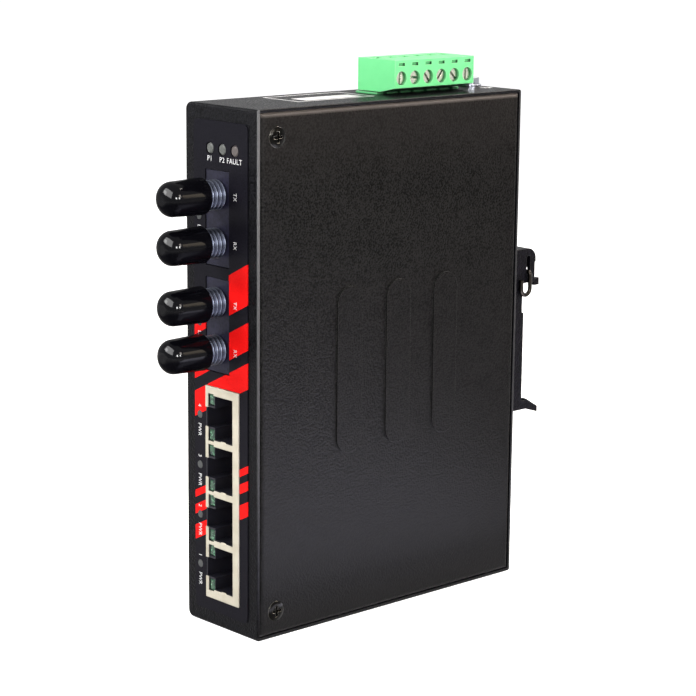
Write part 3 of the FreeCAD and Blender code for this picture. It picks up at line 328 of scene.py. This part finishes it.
TOWARDS_FRONT = Matrix.Rotation(math.radians(90), 4, "X")
shield_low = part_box("jack_shield")[0]
tabs = bmesh.new()
for number in PORTS:
    sill = port_middle(number) - WINDOW_HALF
    place = Matrix.Translation((shield_low[0] + TAB_OFFSET, shield_low[1] + TAB_SET_BACK, sill))
    stand = place @ TOWARDS_FRONT @ Matrix.Diagonal((TAB_BASE, TAB_RISE * 2, 1, 1))
    tab = bmesh.ops.create_grid(tabs, x_segments=1, y_segments=1, size=0.5, matrix=stand)
    tip = [corner for corner in tab["verts"] if corner.co.z > sill]
    bmesh.ops.scale(tabs, vec=(TAB_TIP / TAB_BASE, 1, 1), space=place.inverted(), verts=tip)
thicken(tabs, (0, TAB_THICK, 0))
keep_piece("shield_tabs", tabs, tin)


# Fibre modules: two dark moulded optical blocks in the front wall, each with two ridged metal barrels.
# A soft black cap is pushed over each barrel to keep dust out, and pulls straight off.
# The caps' rubber is shiny above and dull underneath.

module_grey = moulded("module_grey", shade(0.0036, 0.0034, 0.0100), shade(0.0235, 0.0228, 0.0475), 0.42,
                      Specular_IOR_Level=0.09)
module_grey.over(module_grey.noise(0.0009, 2.0).spread(0.48, 0.70) * 0.6, shade(0.0040, 0.0042, 0.0090))
dress(module_grey, "fibre_module_upper", "fibre_module_lower")

THREAD_PITCH = 1.3 * MM
THREADS = 4
module_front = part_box("fibre_module_upper")[0][1]
barrel_metal = plated("barrel_metal", (0.022, 0.024, 0.034), 0.40, 0.0003)
# Painted shade darkens the grooves between the ridges, and a painted highlight lightens each ridge's crest.
barrel_metal.over(barrel_metal.hollows(0.0015), shade(0.004, 0.006, 0.018))
thread = (module_front - barrel_metal.axis("Y")) * (1 / THREAD_PITCH)
crest_highlight = thread.math("PINGPONG", thread, 0.5).spread(0.30, 0.46) * (thread < THREADS)
barrel_metal.over(crest_highlight * 0.8, shade(0.074, 0.082, 0.104))
dress(barrel_metal, *(f"fibre_barrel_{i}" for i in range(1, 5)))

SHINE = 0.18
DULL_FACING = -0.16
SHINY_FACING = 0.06
cap_rubber = Finish("cap_rubber", Specular_IOR_Level=0.006, Coat_IOR=1.5, Coat_Roughness=0.07)
smudge = cap_rubber.noise(0.003, 3.0)
sooty = cap_rubber.mix(smudge, shade(0.0012, 0.0012, 0.0020), shade(0.0028, 0.0027, 0.0042))
upward = cap_rubber.axis("Z", cap_rubber.normal())
cap_rubber.wear(Base_Color=sooty, Roughness=0.15 + smudge * 0.08,
                Coat_Weight=upward.spread(DULL_FACING, SHINY_FACING) * SHINE)
cap_rubber.relief(cap_rubber.noise(0.0025, 2.0), 0.00002)
dress(cap_rubber, *(f"dust_cap_{i}" for i in range(1, 5)))


# Lamps: clear domes that show grey while unlit, three for the power feeds and the fault relay.
# Six thin light pipes mark the ports, and look darker.

FAULT_FROM = 3.0 * MM
STATUS_FROM = 125.0 * MM

lamp_clear = Finish("lamp_clear", Specular_IOR_Level=0.08)
frost = lamp_clear.noise(0.0004, 2.0).spread(0.3, 0.7)
fault = lamp_clear.axis("X") > FAULT_FROM
grey = lamp_clear.mix(frost, shade(0.09, 0.094, 0.09), shade(0.145, 0.152, 0.141))
rosy = lamp_clear.mix(frost, shade(0.094, 0.082, 0.079), shade(0.138, 0.120, 0.116))
lamp_clear.wear(Base_Color=lamp_clear.mix(fault, grey, rosy), Roughness=0.35 + frost * 0.1)
lamp_clear.over((lamp_clear.axis("Z") < STATUS_FROM) * 0.55, shade(0.040, 0.042, 0.050))
lamp_clear.relief(frost, 0.00002)
dress(lamp_clear, "status_lamps", "port_lamps")


# Power input: a green shrouded header on the board, and the pull-out plug with six screw clamps in it.
# Both are moulded in one bright green nylon; the clamp screws and cages are zinc-plated steel.

nylon_green = moulded("nylon_green", shade(0.150, 0.70, 0.255), shade(0.190, 0.78, 0.305), 0.40, 0.0002,
                      Specular_IOR_Level=0.16)
# A painted highlight lightens the plug's edges, and painted shade darkens its holes, slots and recesses.
nylon_green.over(nylon_green.edges(0.0003) * 0.5, shade(0.55, 0.92, 0.58))
nylon_green.over(nylon_green.hollows(0.0025), shade(0.012, 0.10, 0.03))
dress(nylon_green, "terminal_plug", "power_header")
clamp_zinc = plated("clamp_zinc", (0.47, 0.49, 0.42), 0.24, 0.0004)
for i in range(1, 7):
    dress(clamp_zinc, f"clamp_screw_{i}", f"clamp_cage_{i}")
dress(zinc, "header_pins")


# Ground screw on the top wall, with a plain washer under its head: both are steel in bright zinc plate.
# It is driven into a tapped hole in the wall, and clamps an earth wire's ring under the washer.

ground_zinc = plated("ground_zinc", (0.34, 0.35, 0.39), 0.12, 0.0004)
# Painted shade, dark navy, fills the recesses of the screw and washer.
ground_zinc.over(ground_zinc.hollows(0.0015), shade(0.02, 0.024, 0.05))
dress(ground_zinc, "ground_screw", "ground_washer")


# Side cover: a shallow pressed pan with three stiffening beads, in the tray's paint, here as a warmer, more
# speckled copy that stands in for the light and glints on this side (painted light).
# Bands of painted light run along it: speckle evened out towards the bottom, lighter towards the upper and
# low edges, and painted highlights on its bends, browner on the upper one and greyer on the low and rear
# ones.
# Two black countersunk screws hold it to the welded lugs.

# Bands of painted light: from and to in mm (up the height, or along the depth for the rear bend), share,
# colour.
LOWER_HALF_EVENED = (115.0, 25.0, 0.6, (0.0065, 0.0064, 0.0067))
UPPER_EDGE_LIGHT = (120.0, 140.0, 0.4, (0.0200, 0.0180, 0.0166))
UPPER_BEND_HIGHLIGHT = (139.7, 140.5, 1.0, (0.105, 0.092, 0.084))
LOW_EDGE_LIGHT = (11.0, 2.5, 0.5, (0.0185, 0.0185, 0.0200))
LOW_BEND_HIGHLIGHT = (1.8, 1.0, 1.0, (0.105, 0.105, 0.113))
REAR_BEND_HIGHLIGHT = (46.9, 47.8, 1.0, (0.036, 0.036, 0.037))

# A warmer, more speckled copy of the tray's paint: painted light for this side.
cover_paint_lit = powder_coat("cover_paint_lit", shade(0.0003, 0.0003, 0.0003), shade(0.0122, 0.0116, 0.0110), 0.026)
along, up = (cover_paint_lit.axis(name) for name in "YZ")
painted_light_bands = [(up, tone) for tone in (LOWER_HALF_EVENED, UPPER_EDGE_LIGHT, UPPER_BEND_HIGHLIGHT, LOW_EDGE_LIGHT, LOW_BEND_HIGHLIGHT)]
for way, (start, full, share, colour) in painted_light_bands + [(along, REAR_BEND_HIGHLIGHT)]:
    cover_paint_lit.over(way.spread(start * MM, full * MM) * share, shade(*colour))
dress(cover_paint_lit, "side_cover")
black_oxide = plated("black_oxide", (0.0045, 0.0044, 0.0040), 0.20, 0.0004)
# Pale rims painted along the screw heads' edges and cross recesses: a painted highlight.
black_oxide.over(black_oxide.edges(0.00015) * 0.6, shade(0.16, 0.150, 0.128))
dress(black_oxide, "cover_screws", "clip_screws")


# Front label: a black printed film over the whole front wall, cut out round the connectors.
# Plain slanting red stripes are printed behind its satin face, and keep off the strip over the lower module.

STRIPES = ((90.8, 10.8), (77.1, 7.4), (66.5, 7.0), (41.3, 2.0), (36.9, 2.6), (30.5, 4.0))
SLANT = 0.5
WINDOW_LIP = 0.5 * MM

film = Finish("label_film", Specular_IOR_Level=0.032)
speckle = film.noise(0.0005, 2.0).spread(0.3, 0.7)
level = film.axis("Z") - film.axis("X") * SLANT
stripes = 0.0
for middle, height in STRIPES:
    above = level > (middle - height / 2) * MM
    below = level < (middle + height / 2) * MM
    stripes = above * below + stripes
window_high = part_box("fibre_module_lower")[1]
bare = (film.axis("X") < window_high[0]) * (film.axis("Z") > window_high[2] - WINDOW_LIP)
black = film.mix(speckle, shade(0.0036, 0.0034, 0.0060), shade(0.0074, 0.0068, 0.0108))
scarlet = film.mix(speckle, shade(0.86, 0.006, 0.006), shade(0.95, 0.010, 0.009))
film.wear(Base_Color=film.mix(stripes * (1 - bare), black, scarlet), Roughness=0.36 + speckle * 0.12)
film.relief(speckle, 0.00001)
dress(film, "front_label")


# White screen print on the label: plain words and port numbers, in ink a few hundredths thick.
# The words beside the ports read downwards.

INK = 0.02 * MM
CAP_SHARE = 0.70
LETTER_SPACE = 1.08

ink_white = Finish("ink_white", Specular_IOR_Level=0.2)
patchy = ink_white.noise(0.0003, 2.0)
ink_white.wear(Base_Color=ink_white.mix(patchy, shade(0.70, 0.70, 0.71), shade(0.85, 0.85, 0.85)),
               Roughness=0.5 + patchy * 0.1)


def print_words(name, marks, narrow=1.0):
    """Words as raised ink: each mark has its text, its capitals' height, its place and its turn."""
    sheet = bmesh.new()
    for words, tall, place, turn in marks:
        text = bpy.data.curves.new(name, "FONT")
        text.body = words
        text.align_x = "CENTER"
        text.align_y = "CENTER"
        text.size = tall / CAP_SHARE
        text.space_character = LETTER_SPACE
        text.extrude = INK / 2
        text.resolution_u = 4
        holder = bpy.data.objects.new(name, text)
        outline = bpy.data.meshes.new_from_object(holder)
        lie = Matrix.Rotation(turn, 4, "Z") @ Matrix.Diagonal((narrow, 1, 1, 1))
        outline.transform(Matrix.Translation(place) @ TOWARDS_FRONT @ lie)
        sheet.from_mesh(outline)
        bpy.data.objects.remove(holder)
        bpy.data.curves.remove(text)
        bpy.data.meshes.remove(outline)
    keep_piece(name, sheet, ink_white)


ACROSS = 0.0
DOWNWARDS = math.radians(-90)
WORD_TALL = 1.4 * MM
SIDE_TALL = 1.3 * MM
SIDE_NARROW = 0.85
label_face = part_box("front_label")[0][1] - INK / 2


def on_label(x, z):
    return (x, label_face, z)


STATUS_DROP = 2.75 * MM
lamp_low, lamp_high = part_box("status_lamps")
lamp_radius = (lamp_high[2] - lamp_low[2]) / 2
lamp_xs = (lamp_low[0] + lamp_radius, middle_of("status_lamps", 0), lamp_high[0] - lamp_radius)
status_z = middle_of("status_lamps", 2) - STATUS_DROP
print_words("status_words", [
    (words, WORD_TALL, on_label(x, status_z), ACROSS) for words, x in zip(("P1", "P2", "FAULT"), lamp_xs)
])

NUMBER_RISE = 2.45 * MM
WORD_BELOW = 4.2 * MM
port_x = middle_of("port_lamps", 0)
port_marks = []
for number in PORTS:
    z = port_middle(number)
    port_marks.append((str(number), SIDE_TALL, on_label(port_x, z + NUMBER_RISE), DOWNWARDS))
    port_marks.append(("PWR", SIDE_TALL, on_label(port_x, z - WORD_BELOW), DOWNWARDS))
print_words("port_words", port_marks, SIDE_NARROW)

FIBRE_WORD_X = 5.9 * MM
fibre_marks = []
for module, caps in (("fibre_module_upper", (1, 2)), ("fibre_module_lower", (3, 4))):
    z = middle_of(module, 2)
    fibre_marks.append(("LINK", SIDE_TALL, on_label(port_x, z - WORD_BELOW), DOWNWARDS))
    for cap, words in zip(caps, ("TX", "RX")):
        place = on_label(FIBRE_WORD_X, middle_of(f"dust_cap_{cap}", 2))
        fibre_marks.append((words, SIDE_TALL, place, DOWNWARDS))
print_words("fibre_words", fibre_marks, SIDE_NARROW)


# Print on the top wall: a bare writing field in a white frame before the plug, and an earth sign.
# Both are screen printed in the same white ink straight on the paint.

top_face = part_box("housing_tray")[1][2]
front_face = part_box("housing_tray")[0][1]


def add_field(sheet, x, y):
    """A flat field of ink on the top wall, from one corner to the other."""
    place = Matrix.Translation(((x[0] + x[1]) / 2, (y[0] + y[1]) / 2, top_face))
    size = Matrix.Diagonal((x[1] - x[0], y[1] - y[0], 1, 1))
    made = bmesh.ops.create_grid(sheet, x_segments=1, y_segments=1, size=0.5, matrix=place @ size)
    return made["verts"][0].link_faces[0]


FRAME_LINE = 0.9 * MM
FRAME_SET_BACK = 22.5 * MM
FRAME_END = 50.0 * MM
FIELD_INSET = 4.0 * MM
FIELD_END_INSET = 3.0 * MM
frame_x = (-10.0 * MM, 5.0 * MM)
frame_y = (front_face + FRAME_SET_BACK, front_face + FRAME_END)
field_x = (-3.0 * MM, frame_x[1] - FRAME_LINE * 2)
field_y = (frame_y[0] + FIELD_INSET, frame_y[1] - FIELD_END_INSET)
plate = bmesh.new()
inner = add_field(plate, frame_x, frame_y)
bmesh.ops.inset_individual(plate, faces=[inner], thickness=FRAME_LINE)
bmesh.ops.delete(plate, geom=[inner], context="FACES_ONLY")
add_field(plate, field_x, field_y)
thicken(plate, (0, 0, INK))
keep_piece("writing_field", plate, ink_white)

BAR = 0.45 * MM
BAR_REACHES = (2.2 * MM, 1.5 * MM, 0.8 * MM)
STEM = 2.6 * MM
SIGN_OFFSET = 6.6 * MM
sign = bmesh.new()
sign_x = middle_of("ground_screw", 0) + SIGN_OFFSET
sign_y = middle_of("ground_screw", 1)
add_field(sign, (sign_x - STEM, sign_x), (sign_y - BAR / 2, sign_y + BAR / 2))
for step, reach in enumerate(BAR_REACHES):
    x = sign_x + step * BAR * 2
    add_field(sign, (x, x + BAR), (sign_y - reach, sign_y + reach))
thicken(sign, (0, 0, INK))
keep_piece("earth_sign", sign, ink_white)


# Rail clip: a folded steel channel with hooked flanges, painted as the case.
# The wire spring is hooked through the slots in its ears and left dark from its oil bath.

clip_paint = powder_coat("clip_paint", shade(0.0008, 0.0007, 0.0013), shade(0.0042, 0.0037, 0.0062), 0.035)
dress(clip_paint, "rail_clip")
spring_steel = plated("spring_steel", (0.014, 0.012, 0.010), 0.20, 0.0004)
dress(spring_steel, "rail_spring")


# Studio: a white paper floor and surround that glow only to the eye and to mirrors.
# Soft lamps stand in front, beside and behind, and the camera has the photograph's long lens.

def only_seen(nodes):
    """1 for a ray that the eye, a mirror or a clear piece sends out, 0 for light that bounces."""
    kinds = ("Is Camera Ray", "Is Glossy Ray", "Is Transmission Ray")
    eye_ray, glossy_ray, clear_ray = (nodes.node("ShaderNodeLightPath", output=kind) for kind in kinds)
    total = eye_ray + glossy_ray + clear_ray
    return total.math("MINIMUM", total, 1.0)


FILL = 0.30
scene = bpy.context.scene
scene.view_settings.view_transform = "Standard"
world = bpy.data.worlds.new("studio")
world.use_nodes = True
scene.world = world
sky = Nodes(world.node_tree)
background = world.node_tree.nodes["Background"]
background.inputs["Color"].default_value = shade(1, 1, 1)
sky.feed(background.inputs["Strength"], only_seen(sky) * (1 - FILL) + FILL)

FLOOR_GLOW = 0.82
FLOOR_HALF = 3.0
FLOOR_DROP = 0.2 * MM
ground = bmesh.new()
bmesh.ops.create_grid(ground, x_segments=1, y_segments=1, size=FLOOR_HALF)
floor_mesh = bpy.data.meshes.new("floor")
ground.to_mesh(floor_mesh)
ground.free()
floor = bpy.data.objects.new("floor", floor_mesh)
floor.location.z = -FLOOR_DROP
scene.collection.objects.link(floor)
paper = Finish("paper_floor", Specular_IOR_Level=0.0, Roughness=1.0, Emission_Strength=FLOOR_GLOW)
mottle = paper.noise(0.05, 2.0)
paper.wear(Base_Color=paper.mix(mottle, shade(0.79, 0.79, 0.79), shade(0.81, 0.81, 0.81)),
           Emission_Color=paper.mix(only_seen(paper), shade(0, 0, 0), shade(1, 1, 1)))
floor_mesh.materials.append(paper.material)


CASE_MIDDLE = (0, 0, 0.07)
WARM = (1.0, 0.92, 0.86)
COOL = (0.82, 0.82, 1.0)
AMBER = (1.0, 0.84, 0.62)


def soft_lamp(name, place, size, power, tint=(1, 1, 1), aim=CASE_MIDDLE):
    """A rectangular lamp aimed at a point, as a rule the middle of the case."""
    lamp = bpy.data.lights.new(name, "AREA")
    lamp.shape = "RECTANGLE"
    lamp.size, lamp.size_y = size
    lamp.energy = power
    lamp.color = tint
    holder = bpy.data.objects.new(name, lamp)
    holder.location = place
    holder.rotation_euler = (Vector(aim) - Vector(place)).to_track_quat("-Z", "Y").to_euler()
    holder.visible_camera = False
    scene.collection.objects.link(holder)
    return holder


def gloss_card(*facts, **more):
    """A lit card that shows in glossy surfaces and throws no light of its own."""
    soft_lamp(*facts, **more).visible_diffuse = False


soft_lamp("rear_lamp", (0.0, 0.60, 0.72), (0.35, 0.30), 6.0, WARM)
soft_lamp("front_lamp", (-0.45, -0.75, 0.50), (0.35, 0.30), 6.6)
soft_lamp("side_lamp", (0.70, 0.10, 0.42), (0.22, 0.22), 4.8, WARM)
soft_lamp("eye_lamp", (0.45, -0.62, 0.30), (0.25, 0.25), 2.2).visible_glossy = False
gloss_card("bend_card", (0.16, 0.60, 0.76), (0.35, 0.30), 14.0, WARM)
gloss_card("spark_card_left", (0.63, -0.33, 0.27), (0.12, 0.12), 7.0)
gloss_card("spark_card_right", (0.70, -0.02, 0.27), (0.12, 0.12), 6.0)
gloss_card("streak_card", (0.62, 0.46, 0.30), (0.14, 0.26), 0.75, AMBER)
gloss_card("dome_card", (-0.05, -0.52, 0.42), (0.66, 0.42), 20.0)
gloss_card("floor_card", (0.13, 0.010, 0.001), (0.18, 0.17), 1.5, COOL, aim=(0.13, 0.010, 1.0))

EYE_PLACE = (0.4431, -0.40885, 0.1975)
HEADING = math.radians(47.54)
DIP = math.radians(11.82)
ROLL = math.radians(0.54)
camera = bpy.data.cameras.new("camera")
camera.lens = 113.84
camera.sensor_width = 36.0
camera.clip_start = 0.01
eye = bpy.data.objects.new("camera", camera)
tilt = Matrix.Rotation(math.radians(90) - DIP, 4, "X") @ Matrix.Rotation(ROLL, 4, "Z")
eye.matrix_world = Matrix.Translation(EYE_PLACE) @ Matrix.Rotation(HEADING, 4, "Z") @ tilt
scene.collection.objects.link(eye)
scene.camera = eye
